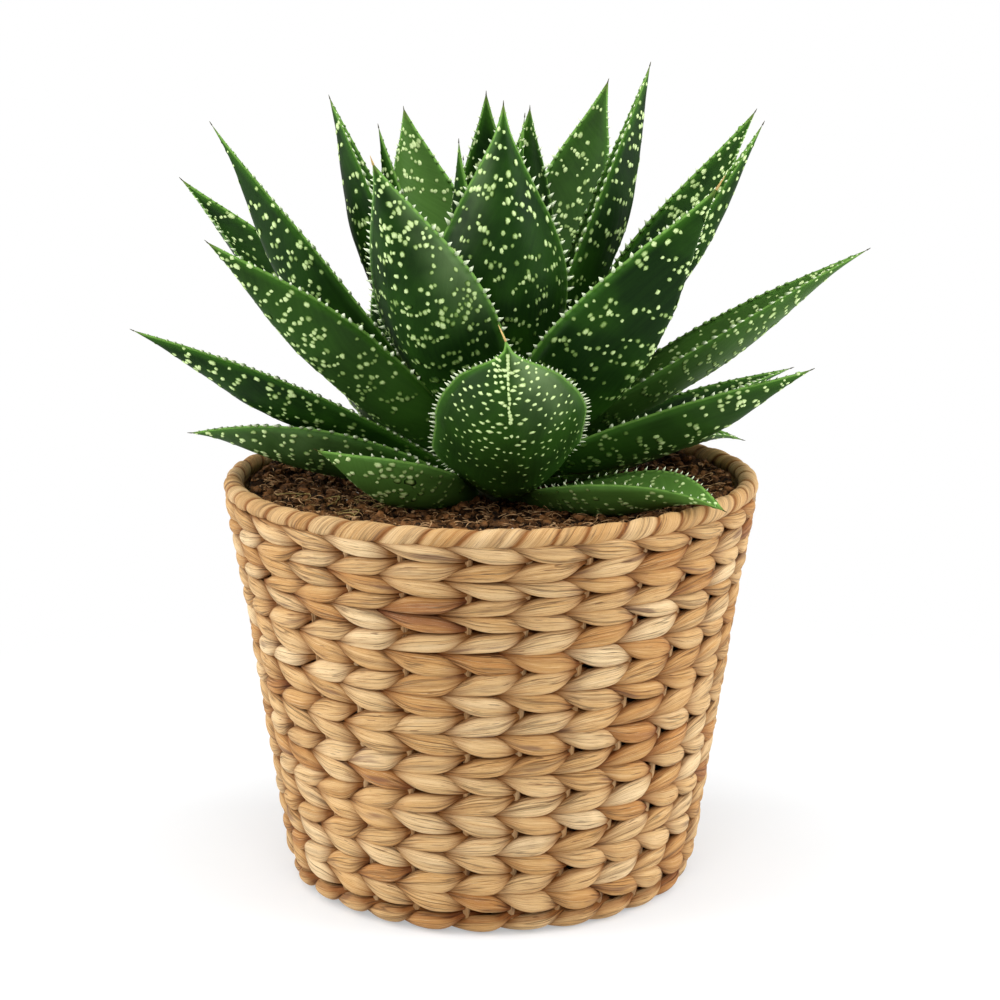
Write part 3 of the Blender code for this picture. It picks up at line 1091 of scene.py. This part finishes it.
# %% Leaf finish
MARKS = ("share", "edge", "length", "girth", "spot", "tooth", "bristle", "pale", "bloom")
DEEP = ((0.003, 0.014, 0.002), (0.011, 0.042, 0.003))
FRESH = ((0.026, 0.105, 0.006), (0.050, 0.160, 0.012))
# A paler green, laid on some inner faces and, as painted light, over whole leaves.
PALER_GREENS = ((0.060, 0.150, 0.022), (0.100, 0.215, 0.040))
CREAM = ((0.46, 0.64, 0.22), (0.82, 0.93, 0.54))
# The grey is partly the leaf's bloom and partly painted sheen.
SPOT_RIM, MARGIN_LINE, BLOOM_SHEEN_GREY = (0.16, 0.29, 0.045), (0.20, 0.40, 0.075), (0.20, 0.29, 0.13)
DRY_TIP, TOOTH_WHITE, BRISTLE_TAN = (0.070, 0.045, 0.012), (0.88, 0.95, 0.70), (0.70, 0.47, 0.18)


def leaf_skin():
    finish = Finish("leaf skin", specular_ior_level=0.07)
    place = finish.place()
    marks = {name: finish.mark(name) for name in MARKS}
    share, edge, spot = marks["share"], marks["edge"], marks["spot"]
    own = finish.node("ShaderNodeCombineXYZ", {}, {0: marks["length"], 1: marks["girth"]})
    streaks = finish.noise(finish.stretch(own, (45.0, 700.0, 1.0)), detail=3.0)
    clouds = finish.noise(place, scale=60.0, detail=3.0)
    pores = finish.noise(place, scale=1900.0)
    flecks = finish.noise(place, scale=2600.0, detail=1.0)
    rim = 1.0 - edge.step(0.2, 3.4)
    foot = 1.0 - share.step(0.04, 0.42)
    line = 1.0 - edge.step(0.3, 1.1)
    dot = finish.mix(spot.step(0.15, 0.85), SPOT_RIM, finish.mix(flecks, *CREAM))
    green = finish.coat(
        finish.mix(clouds.step(0.35, 0.68), *DEEP),
        ((rim * 0.65 + foot * 0.6 + streaks * 0.15).clamp(), finish.mix(streaks, *FRESH)),
        # Paler green on some inner faces, and painted light over whole leaves.
        (marks["pale"], finish.mix(streaks, *PALER_GREENS)),
        # Grey on chosen flanks: partly bloom, partly painted sheen.
        (marks["bloom"] * clouds.step(0.2, 0.7), BLOOM_SHEEN_GREY),
        (line * 0.80, MARGIN_LINE),
        (share.step(0.955, 1.0) * 0.75, DRY_TIP),
        (spot.step(0.02, 0.55) * 0.95, dot),
        (marks["tooth"].step(0.1, 0.8) * 0.95, TOOTH_WHITE),
        (marks["bristle"], BRISTLE_TAN),
    )
    finish.feed(
        base_color=green,
        roughness=0.42 + clouds * 0.14 + spot * 0.12,
        normal=finish.bump(pores * 0.3 + streaks * 0.7, 0.18 * MM, 0.6),
    )
    return finish


leaf_finish = leaf_skin()
print("leaf skin ready")

# %% [markdown]
# ## The leaf's surface
#
# A smooth curve is drawn through the sections, along the leaf and round it, and a grid is bent onto
# it. Real leaves are never quite even, so the surface swells and sinks a little, and the margins
# wave. Each point also gets its marks here.

# %% Blade
ALONG, ACROSS = 6, 3  # steps of the fine surface to each interval of the sections
UNEVEN = 0.35 * MM


def smooth_through(points, fine):
    """Catmull-Rom through an array's rows, fine steps to each interval."""
    first = 2 * points[:1] - points[1:2]
    last = 2 * points[-1:] - points[-2:-1]
    p = np.concatenate([first, points, last])
    u = (np.arange(fine) / fine).reshape((1, fine) + (1,) * (points.ndim - 1))
    p0, p1, p2, p3 = (p[i:len(points) - 1 + i, None] for i in range(4))
    curve = 0.5 * (2 * p1 + (p2 - p0) * u + (2 * p0 - 5 * p1 + 4 * p2 - p3) * u**2
                   + (3 * p1 - p0 - 3 * p2 + p3) * u**3)
    curve = curve.reshape((-1,) + points.shape[1:])
    return np.concatenate([curve, points[-1:]])


class Blade:
    """A leaf's fine surface: places and normals by share along and step round."""

    def __init__(self, rows, seed):
        foot = rows[0] + (rows[0] - rows[1]) * 0.3
        rows = np.concatenate([foot[None], rows])
        back = smooth_through(rows[:, :5].swapaxes(0, 1), ACROSS)
        face = smooth_through(rows[:, [4, 5, 6, 7, 0]].swapaxes(0, 1), ACROSS)
        around = np.concatenate([back, face[1:]]).swapaxes(0, 1)
        self.grid = smooth_through(around, ALONG)
        self.steps, self.sides = self.grid.shape[0] - 1, self.grid.shape[1] - 1
        run = np.linalg.norm(np.diff(self.grid.mean(axis=1), axis=0), axis=1)
        self.length = run.sum()
        self.share = np.concatenate([[0.0], np.cumsum(run)]) / self.length
        self.swell(seed)
        hops = np.linalg.norm(np.diff(self.grid, axis=1), axis=2)
        reach = np.concatenate([np.zeros((self.steps + 1, 1)), np.cumsum(hops, axis=1)], axis=1)
        half = self.sides // 2
        self.girth, self.half_girth = reach, reach[:, half]
        to_far_margin = np.abs(self.half_girth[:, None] - reach)
        near_back = np.minimum(reach, to_far_margin)
        near_face = np.minimum(reach[:, -1:] - reach, to_far_margin)
        on_back = np.arange(self.sides + 1)[None, :] <= half
        self.edge = np.where(on_back, near_back, near_face) / MM

    def swell(self, seed):
        """Moves the surface in and out a little, more where the leaf is wide."""
        for i, row in enumerate(self.grid):
            centre = row.mean(axis=0)
            wide = min(1.0, np.linalg.norm(row[0] - row[self.sides // 2]) / (20 * MM))
            for j, point in enumerate(row[:-1]):
                away = Vector(point - centre)
                if away.length < 0.2 * MM:
                    continue
                amount = noise.noise(Vector(point) * 75.0 + Vector((seed, 0, 0)))
                amount += 0.5 * noise.noise(Vector(point) * 210.0 + Vector((0, seed, 0)))
                row[j] = point + np.array(away.normalized()) * amount * UNEVEN * wide
            row[-1] = row[0]

    def row(self, share):
        """The grid row, as a real number, at a share of the length."""
        return float(np.interp(share, self.share, np.arange(self.steps + 1)))

    def weigh(self, table, row, side):
        """A table of the grid read between its points."""
        row, side = min(max(row, 0.0), self.steps), min(max(side, 0.0), self.sides)
        i, j = int(min(row, self.steps - 1)), int(min(side, self.sides - 1))
        u, v = row - i, side - j
        low = table[i, j] * (1 - v) + table[i, j + 1] * v
        high = table[i + 1, j] * (1 - v) + table[i + 1, j + 1] * v
        return low * (1 - u) + high * u

    def point(self, row, side):
        return Vector(self.weigh(self.grid, row, side))

    def marks(self, row, side):
        """What the skin is marked with at a place, for the shapes that grow on it."""
        return {
            "share": float(np.interp(row, np.arange(self.steps + 1), self.share)),
            "edge": float(self.weigh(self.edge, row, side)),
        }

    def frame_at(self, row, side):
        """(point, outward normal, direction to the tip) on the surface."""
        here = self.point(row, side)
        ahead = self.point(row + 0.5, side) - self.point(row - 0.5, side)
        beside = self.point(row, side + 0.3) - self.point(row, side - 0.3)
        normal = beside.cross(ahead).normalized()
        opposite = self.point(row, self.sides - side)
        if normal.dot(here - opposite) < 0:
            normal.negate()
        return here, normal, ahead.normalized()


print("blades are drawn with", ALONG, "rows to a section")

# %% Skin
# How much paler green there is on a leaf's inner face, and how much is laid over the whole of a
# leaf as painted light that brightens it.
PALE_FACES = {"leaf_back_left": 0.7, "leaf_back_right": 0.2}
PAINTED_LIGHT_LEAVES = {
    "leaf_front_left_low": 0.75, "leaf_front_right_low": 0.90, "leaf_left_low": 0.25,
    "leaf_right_lowest": 0.3, "leaf_left_broad": 0.15, "leaf_right_long": 0.4,
    "leaf_right_low": 0.15, "leaf_front": 0.1,
}
# How much grey, partly the leaf's bloom and partly painted sheen, where it lies across the back,
# from 0 at the first margin to 1 at the other, and the share of the length where it begins.
BLOOM_AND_SHEEN = {
    "leaf_front_left": (0.45, 1.00, 0.40), "leaf_front_right": (0.40, 0.88, 0.35),
    "leaf_front": (0.70, 0.88, 0.58), "leaf_right_long": (0.45, 0.50, 0.35),
    "leaf_left_broad": (0.20, 0.12, 0.35), "leaf_left_low": (0.25, 0.88, 0.35),
    "leaf_centre_front": (0.35, 0.02, 0.45),
}
BLOOM_SHEEN_HALF_WIDTH, BLOOM_SHEEN_RISE = 0.36, 0.25
GREEN_SHARE = 0.95  # the front leaf's own point isn't dried past this


def skin(blade, node):
    """The leaf's own surface, closed at the foot."""
    pale = PALE_FACES.get(node, 0.0)
    # Painted light over the whole leaf, to brighten it.
    light = PAINTED_LIGHT_LEAVES.get(node, 0.0)
    # Partly bloom, partly painted sheen.
    bloom, bloom_sheen_at, bloom_sheen_start = BLOOM_AND_SHEEN.get(node, (0.0, 0.5, 0.0))
    half = blade.sides // 2

    def place(s, t):
        i = np.rint(s * blade.steps).astype(int)
        j = np.rint(t * blade.sides).astype(int)
        on_face = (j > half) & (j < blade.sides)
        zeros = np.zeros(len(i))
        share = blade.share[i]
        flank = np.clip(1.0 - np.abs(j / half - bloom_sheen_at) / BLOOM_SHEEN_HALF_WIDTH, 0.0, 1.0)
        upper = np.clip((share - bloom_sheen_start) / BLOOM_SHEEN_RISE, 0.0, 1.0)
        marks = {
            "share": np.minimum(share, GREEN_SHARE) if node == "leaf_front" else share,
            "edge": blade.edge[i, j],
            "length": share * blade.length,
            "girth": blade.girth[i, j],
            "pale": np.where(on_face, pale + light, light),
            "bloom": np.where(on_face, 0.0, bloom * flank * upper),
        }
        return blade.grid[i, j], *(marks.get(name, zeros) for name in MARKS)

    bm = bend_grid(blade.steps, blade.sides, place, MARKS)
    fill_ends(bm)
    return bm


print(len(BLOOM_AND_SHEEN), "leaves have a bloom")

# %% [markdown]
# ## Teeth, spots and tips
#
# Teeth stand every few millimetres along both margins and lean a little towards the tip. They are
# small flat cones, nearly white, whose feet keep some green. A spot is a low dome, a cone cut off
# flat, set a little into the skin, whose rim keeps the skin's own green so that it has no hard
# edge. Spots come in bands across the leaf, singly or in groups of up to four that nearly touch,
# and they fade towards the foot. The short leaf in front has its own pattern: closer teeth, fine
# dashes in rows that meet on the keel, and a broken line of spots down the keel.

# %% Shapes that stand on the skin
def set_marks(bm, verts, **marks):
    for name, value in marks.items():
        layer = bm.verts.layers.float[name]
        for vert in verts:
            vert[layer] = value


def along_axis(point, axis, across, width, thick):
    """A matrix that stands a shape on a point, its Z along axis and its X along across."""
    z = axis.normalized()
    x = (across - z * across.dot(z)).normalized()
    y = z.cross(x)
    turn = Matrix((x * width, y * thick, z)).transposed().to_4x4()
    return Matrix.Translation(point) @ turn


print("shapes are stood on a leaf by their own Z")

# %% Teeth
TOOTH_GAP = 3.5 * MM
TOOTH_START, TOOTH_END = 0.12, 0.975  # shares of the margin that carry teeth
TOOTH_FOOT = 0.22  # how white a tooth's foot is
# How far a low leaf's teeth turn upwards, and how tall they are next to the others.
LOW_TEETH = {
    "leaf_front_right_low": (1.4, 0.55), "leaf_front_left_low": (0.5, 0.75),
    "leaf_right_low": (0.4, 0.85),
}


def add_teeth(bm, blade, rng, gap, tall, end=TOOTH_END, stout=0.36, rise=0.0):
    """Teeth on both margins. stout is half their width against their height."""
    for side in (0, blade.sides // 2):
        edge_line = blade.grid[:, side]
        hops = np.linalg.norm(np.diff(edge_line, axis=0), axis=1)
        run = np.concatenate([[0.0], np.cumsum(hops)])
        at = run[-1] * TOOTH_START
        while at < run[-1] * end:
            row = float(np.interp(at, run, np.arange(len(run))))
            i = min(int(row), blade.steps - 1)
            here = blade.point(row, side)
            out = (here - blade.point(row, blade.sides // 2 - side)).normalized()
            ahead = Vector(edge_line[i + 1] - edge_line[i]).normalized()
            out = (out - ahead * out.dot(ahead)).normalized()
            left = 1 - at / run[-1]
            size = tall * rng.uniform(0.7, 1.25) * min(1.0, 0.30 + left * 2.2)
            axis = out + ahead * rng.uniform(0.15, 0.55) + Vector((0, 0, rise))
            axis.normalize()
            base = here - out * 0.30 * size
            matrix = along_axis(base + axis * size * 0.5, axis, ahead, 1.0, 0.6)
            made = bmesh.ops.create_cone(
                bm, cap_ends=True, segments=6, radius1=size * stout, radius2=size * 0.02,
                depth=size, matrix=matrix,
            )
            low = [v for v in made["verts"] if (v.co - base).dot(axis) < size * 0.5]
            set_marks(bm, made["verts"], tooth=1.0, **blade.marks(row, side))
            set_marks(bm, low, tooth=TOOTH_FOOT)
            at += gap * rng.uniform(0.7, 1.3) * (0.75 + 0.25 * min(1.0, left * 2))


print("teeth every", TOOTH_GAP / MM, "mm")

# %% Spots in bands
BAND_GAP, GROUP_GAP = 4.6 * MM, 4.6 * MM  # between bands of spots, and between groups in one
SPOT_START, SPOT_END, SPOT_LIMIT = 0.14, 0.965, 0.985  # shares of the length
SPOT_SIZE, SPOT_LONG = (0.54, 1.00), (0.9, 1.6)  # half width in mm, and length against width
SPOT_RUNS = (1, 1, 2, 2, 3, 3, 4)
SPOT_HEIGHT, SPOT_SUNK = 0.24 * MM, 0.10 * MM
SPOT_FADE = 0.8


def add_spot(bm, blade, rng, row, side, size, long, strength, outward=0.0):
    """long is the spot's length against its width. outward turns it from the leaf's own line."""
    here, normal, ahead = blade.frame_at(row, side)
    beside = (blade.point(row, side + 0.3) - blade.point(row, side - 0.3)).normalized()
    ahead = (ahead + beside * outward).normalized()
    middle_of_spot = here + normal * (SPOT_HEIGHT * 0.5 - SPOT_SUNK)
    made = bmesh.ops.create_cone(
        bm, cap_ends=True, segments=8, radius1=size * 1.25, radius2=size * 0.45,
        depth=SPOT_HEIGHT, matrix=along_axis(middle_of_spot, normal, ahead, long, 1.0),
    )
    top = [v for v in made["verts"] if (v.co - here).dot(normal) > 0]
    set_marks(bm, made["verts"], spot=0.0, **blade.marks(row, side))
    set_marks(bm, top, spot=strength)
    for vert in made["verts"]:
        away = vert.co - here
        flat = away - normal * away.dot(normal)
        vert.co += flat * rng.uniform(-0.25, 0.25)


def add_spots(bm, blade, rng, first_side, crowd):
    """Bands of spots on one side of the leaf, the back or the face."""
    half = blade.sides // 2
    at = SPOT_START * blade.length
    while at < SPOT_END * blade.length:
        share = at / blade.length
        width = float(np.interp(blade.row(share), np.arange(blade.steps + 1), blade.half_girth))
        groups = max(1, round(width / GROUP_GAP))
        wave = rng.uniform(0, math.tau)
        for group in range(groups):
            if rng.random() > crowd * min(1.0, 0.25 + share * 2.0):
                continue
            across = (group + rng.uniform(0.15, 0.85)) / groups
            run = rng.choice(SPOT_RUNS)
            slant = rng.uniform(-0.9, 0.9) * MM
            slip = 0.9 * MM * math.sin(wave + across * 7)
            for k in range(run):
                step = k - (run - 1) / 2
                side = across + step * rng.uniform(1.0, 1.7) * MM / max(width, 4 * MM)
                if not 0.05 < side < 0.95:
                    continue
                shift = at + slip + slant * step + rng.uniform(-0.8, 0.8) * MM
                shift = min(shift / blade.length, SPOT_LIMIT)
                faded = SPOT_FADE * (1 - min(1.0, share * 1.15))
                strength = rng.uniform(0.5, 1.0) * (1 - faded)
                radius = rng.uniform(*SPOT_SIZE) * MM * min(1.0, 0.55 + width / (30 * MM))
                add_spot(bm, blade, rng, blade.row(shift), first_side + side * half, radius,
                         rng.uniform(*SPOT_LONG), strength)
        at += BAND_GAP * rng.uniform(0.75, 1.25) * (1.0 - 0.25 * share)


print("bands of spots every", BAND_GAP / MM, "mm")

# %% The front leaf's keel line and dashes
KEEL_SPOTS, KEEL_START, KEEL_STEP = 34, 0.93, 0.0145
DASH_START, DASH_END, DASH_SLANT = 0.16, 0.88, 4.0
DASH_RISE = 0.19  # how far a row of dashes runs on towards the tip between keel and margin


def add_keel_line(bm, blade, rng):
    """Spots that run together down the keel, near the tip, and then thin out."""
    for n in range(KEEL_SPOTS):
        if n > 14 and rng.random() < 0.35 + 0.02 * n:
            continue
        share = KEEL_START - n * KEEL_STEP
        add_spot(bm, blade, rng, blade.row(share), blade.sides / 4 + rng.uniform(-0.1, 0.1),
                 rng.uniform(0.42, 0.64) * MM, 1.8 - n * 0.03, rng.uniform(0.7, 1.0))


def add_dashes(bm, blade, rng):
    """Rows of dashes that rise from the keel to both margins, bright near the tip."""
    quarter = blade.sides / 4
    at = DASH_START
    while at < DASH_END:
        for way in (-1, 1):
            across = rng.uniform(0.06, 0.16)
            while across < 0.95:
                share = at + DASH_RISE * across + rng.uniform(-0.005, 0.005)
                keep = rng.random() < 0.55 + 0.45 * at
                if keep and share < 0.90:
                    bright = min(1.0, 0.12 + share * 1.05) * rng.uniform(0.7, 1.0)
                    radius = rng.uniform(0.42, 0.60 + 0.10 * at) * MM
                    place = quarter + way * across * (quarter - 0.35)
                    long = rng.uniform(1.0, 1.3 + 1.3 * at)
                    add_spot(bm, blade, rng, blade.row(share), place, radius, long, bright,
                             way * -DASH_SLANT)
                across += rng.uniform(0.07, 0.13)
        at += rng.uniform(0.036, 0.048)


print("up to", KEEL_SPOTS, "spots on the keel")

# %% Leaves
BACK_CROWD, FACE_CROWD = 0.82, 0.65  # how full the bands of spots are
FRONT_TEETH = {"gap": 2.1 * MM, "tall": 2.3 * MM, "end": 0.94, "stout": 0.30}
FRONT_BRISTLE = {"length": 5.2 * MM, "thick": 0.36 * MM, "lean_to": Vector((-0.35, 0.0, 0.4))}
DRY_TIPS = {"leaf_front_left": 3.0 * MM, "leaf_front_right": 5.0 * MM}
FRESH_TIP = 1.4 * MM
DRY_THICK, FRESH_THICK = 0.4 * MM, 0.22 * MM
TOOTH_TALL, TOOTH_MORE, BROAD = 1.7 * MM, 0.9 * MM, 36 * MM  # a broad leaf's teeth are taller


def add_bristle(bm, blade, length, thick, lean_to=Vector((0, 0, 0))):
    """A thin dry point on the tip, of a length and a half width at its foot."""
    tip = blade.point(blade.steps, 0)
    before = Vector(blade.grid[-8].mean(axis=0))
    axis = ((tip - before).normalized() + lean_to).normalized()
    place = tip - axis * 0.7 * MM + axis * length * 0.5
    made = bmesh.ops.create_cone(
        bm, cap_ends=True, segments=6, radius1=thick, radius2=0.07 * MM, depth=length,
        matrix=along_axis(place, axis, Vector((0.3, 1.0, 0.2)), 1.0, 1.0),
    )
    return made["verts"]


def make_leaf(node):
    rng = random.Random(node)
    blade = Blade(sections[node], len(node) * 3.7)
    bm = skin(blade, node)
    if node == "leaf_front":
        add_dashes(bm, blade, rng)
        add_keel_line(bm, blade, rng)
        add_teeth(bm, blade, rng, **FRONT_TEETH)
        bristle = add_bristle(bm, blade, **FRONT_BRISTLE)
        set_marks(bm, bristle, bristle=1.0, share=0.5, edge=9.0)
    else:
        add_spots(bm, blade, rng, 0, BACK_CROWD)
        rise, short = LOW_TEETH.get(node, (0.0, 1.0))
        tall = TOOTH_TALL + TOOTH_MORE * min(1.0, blade.half_girth.max() / BROAD)
        add_teeth(bm, blade, rng, TOOTH_GAP, tall * short, rise=rise)
        dry = node in DRY_TIPS
        thick = DRY_THICK if dry else FRESH_THICK
        bristle = add_bristle(bm, blade, DRY_TIPS.get(node, FRESH_TIP), thick)
        set_marks(bm, bristle, bristle=0.7 if dry else 0.0, share=0.985, edge=3.0)
    add_spots(bm, blade, rng, blade.sides // 2, FACE_CROWD)
    show(node.replace("leaf_", "blade_"), bm, leaf_finish, "leaf", node)


for node in leaf_nodes:
    make_leaf(node)
faces = sum(len(o.data.polygons) for o in bpy.data.objects if o.name.startswith("blade_"))
print(len(leaf_nodes), "leaves with", faces, "faces")
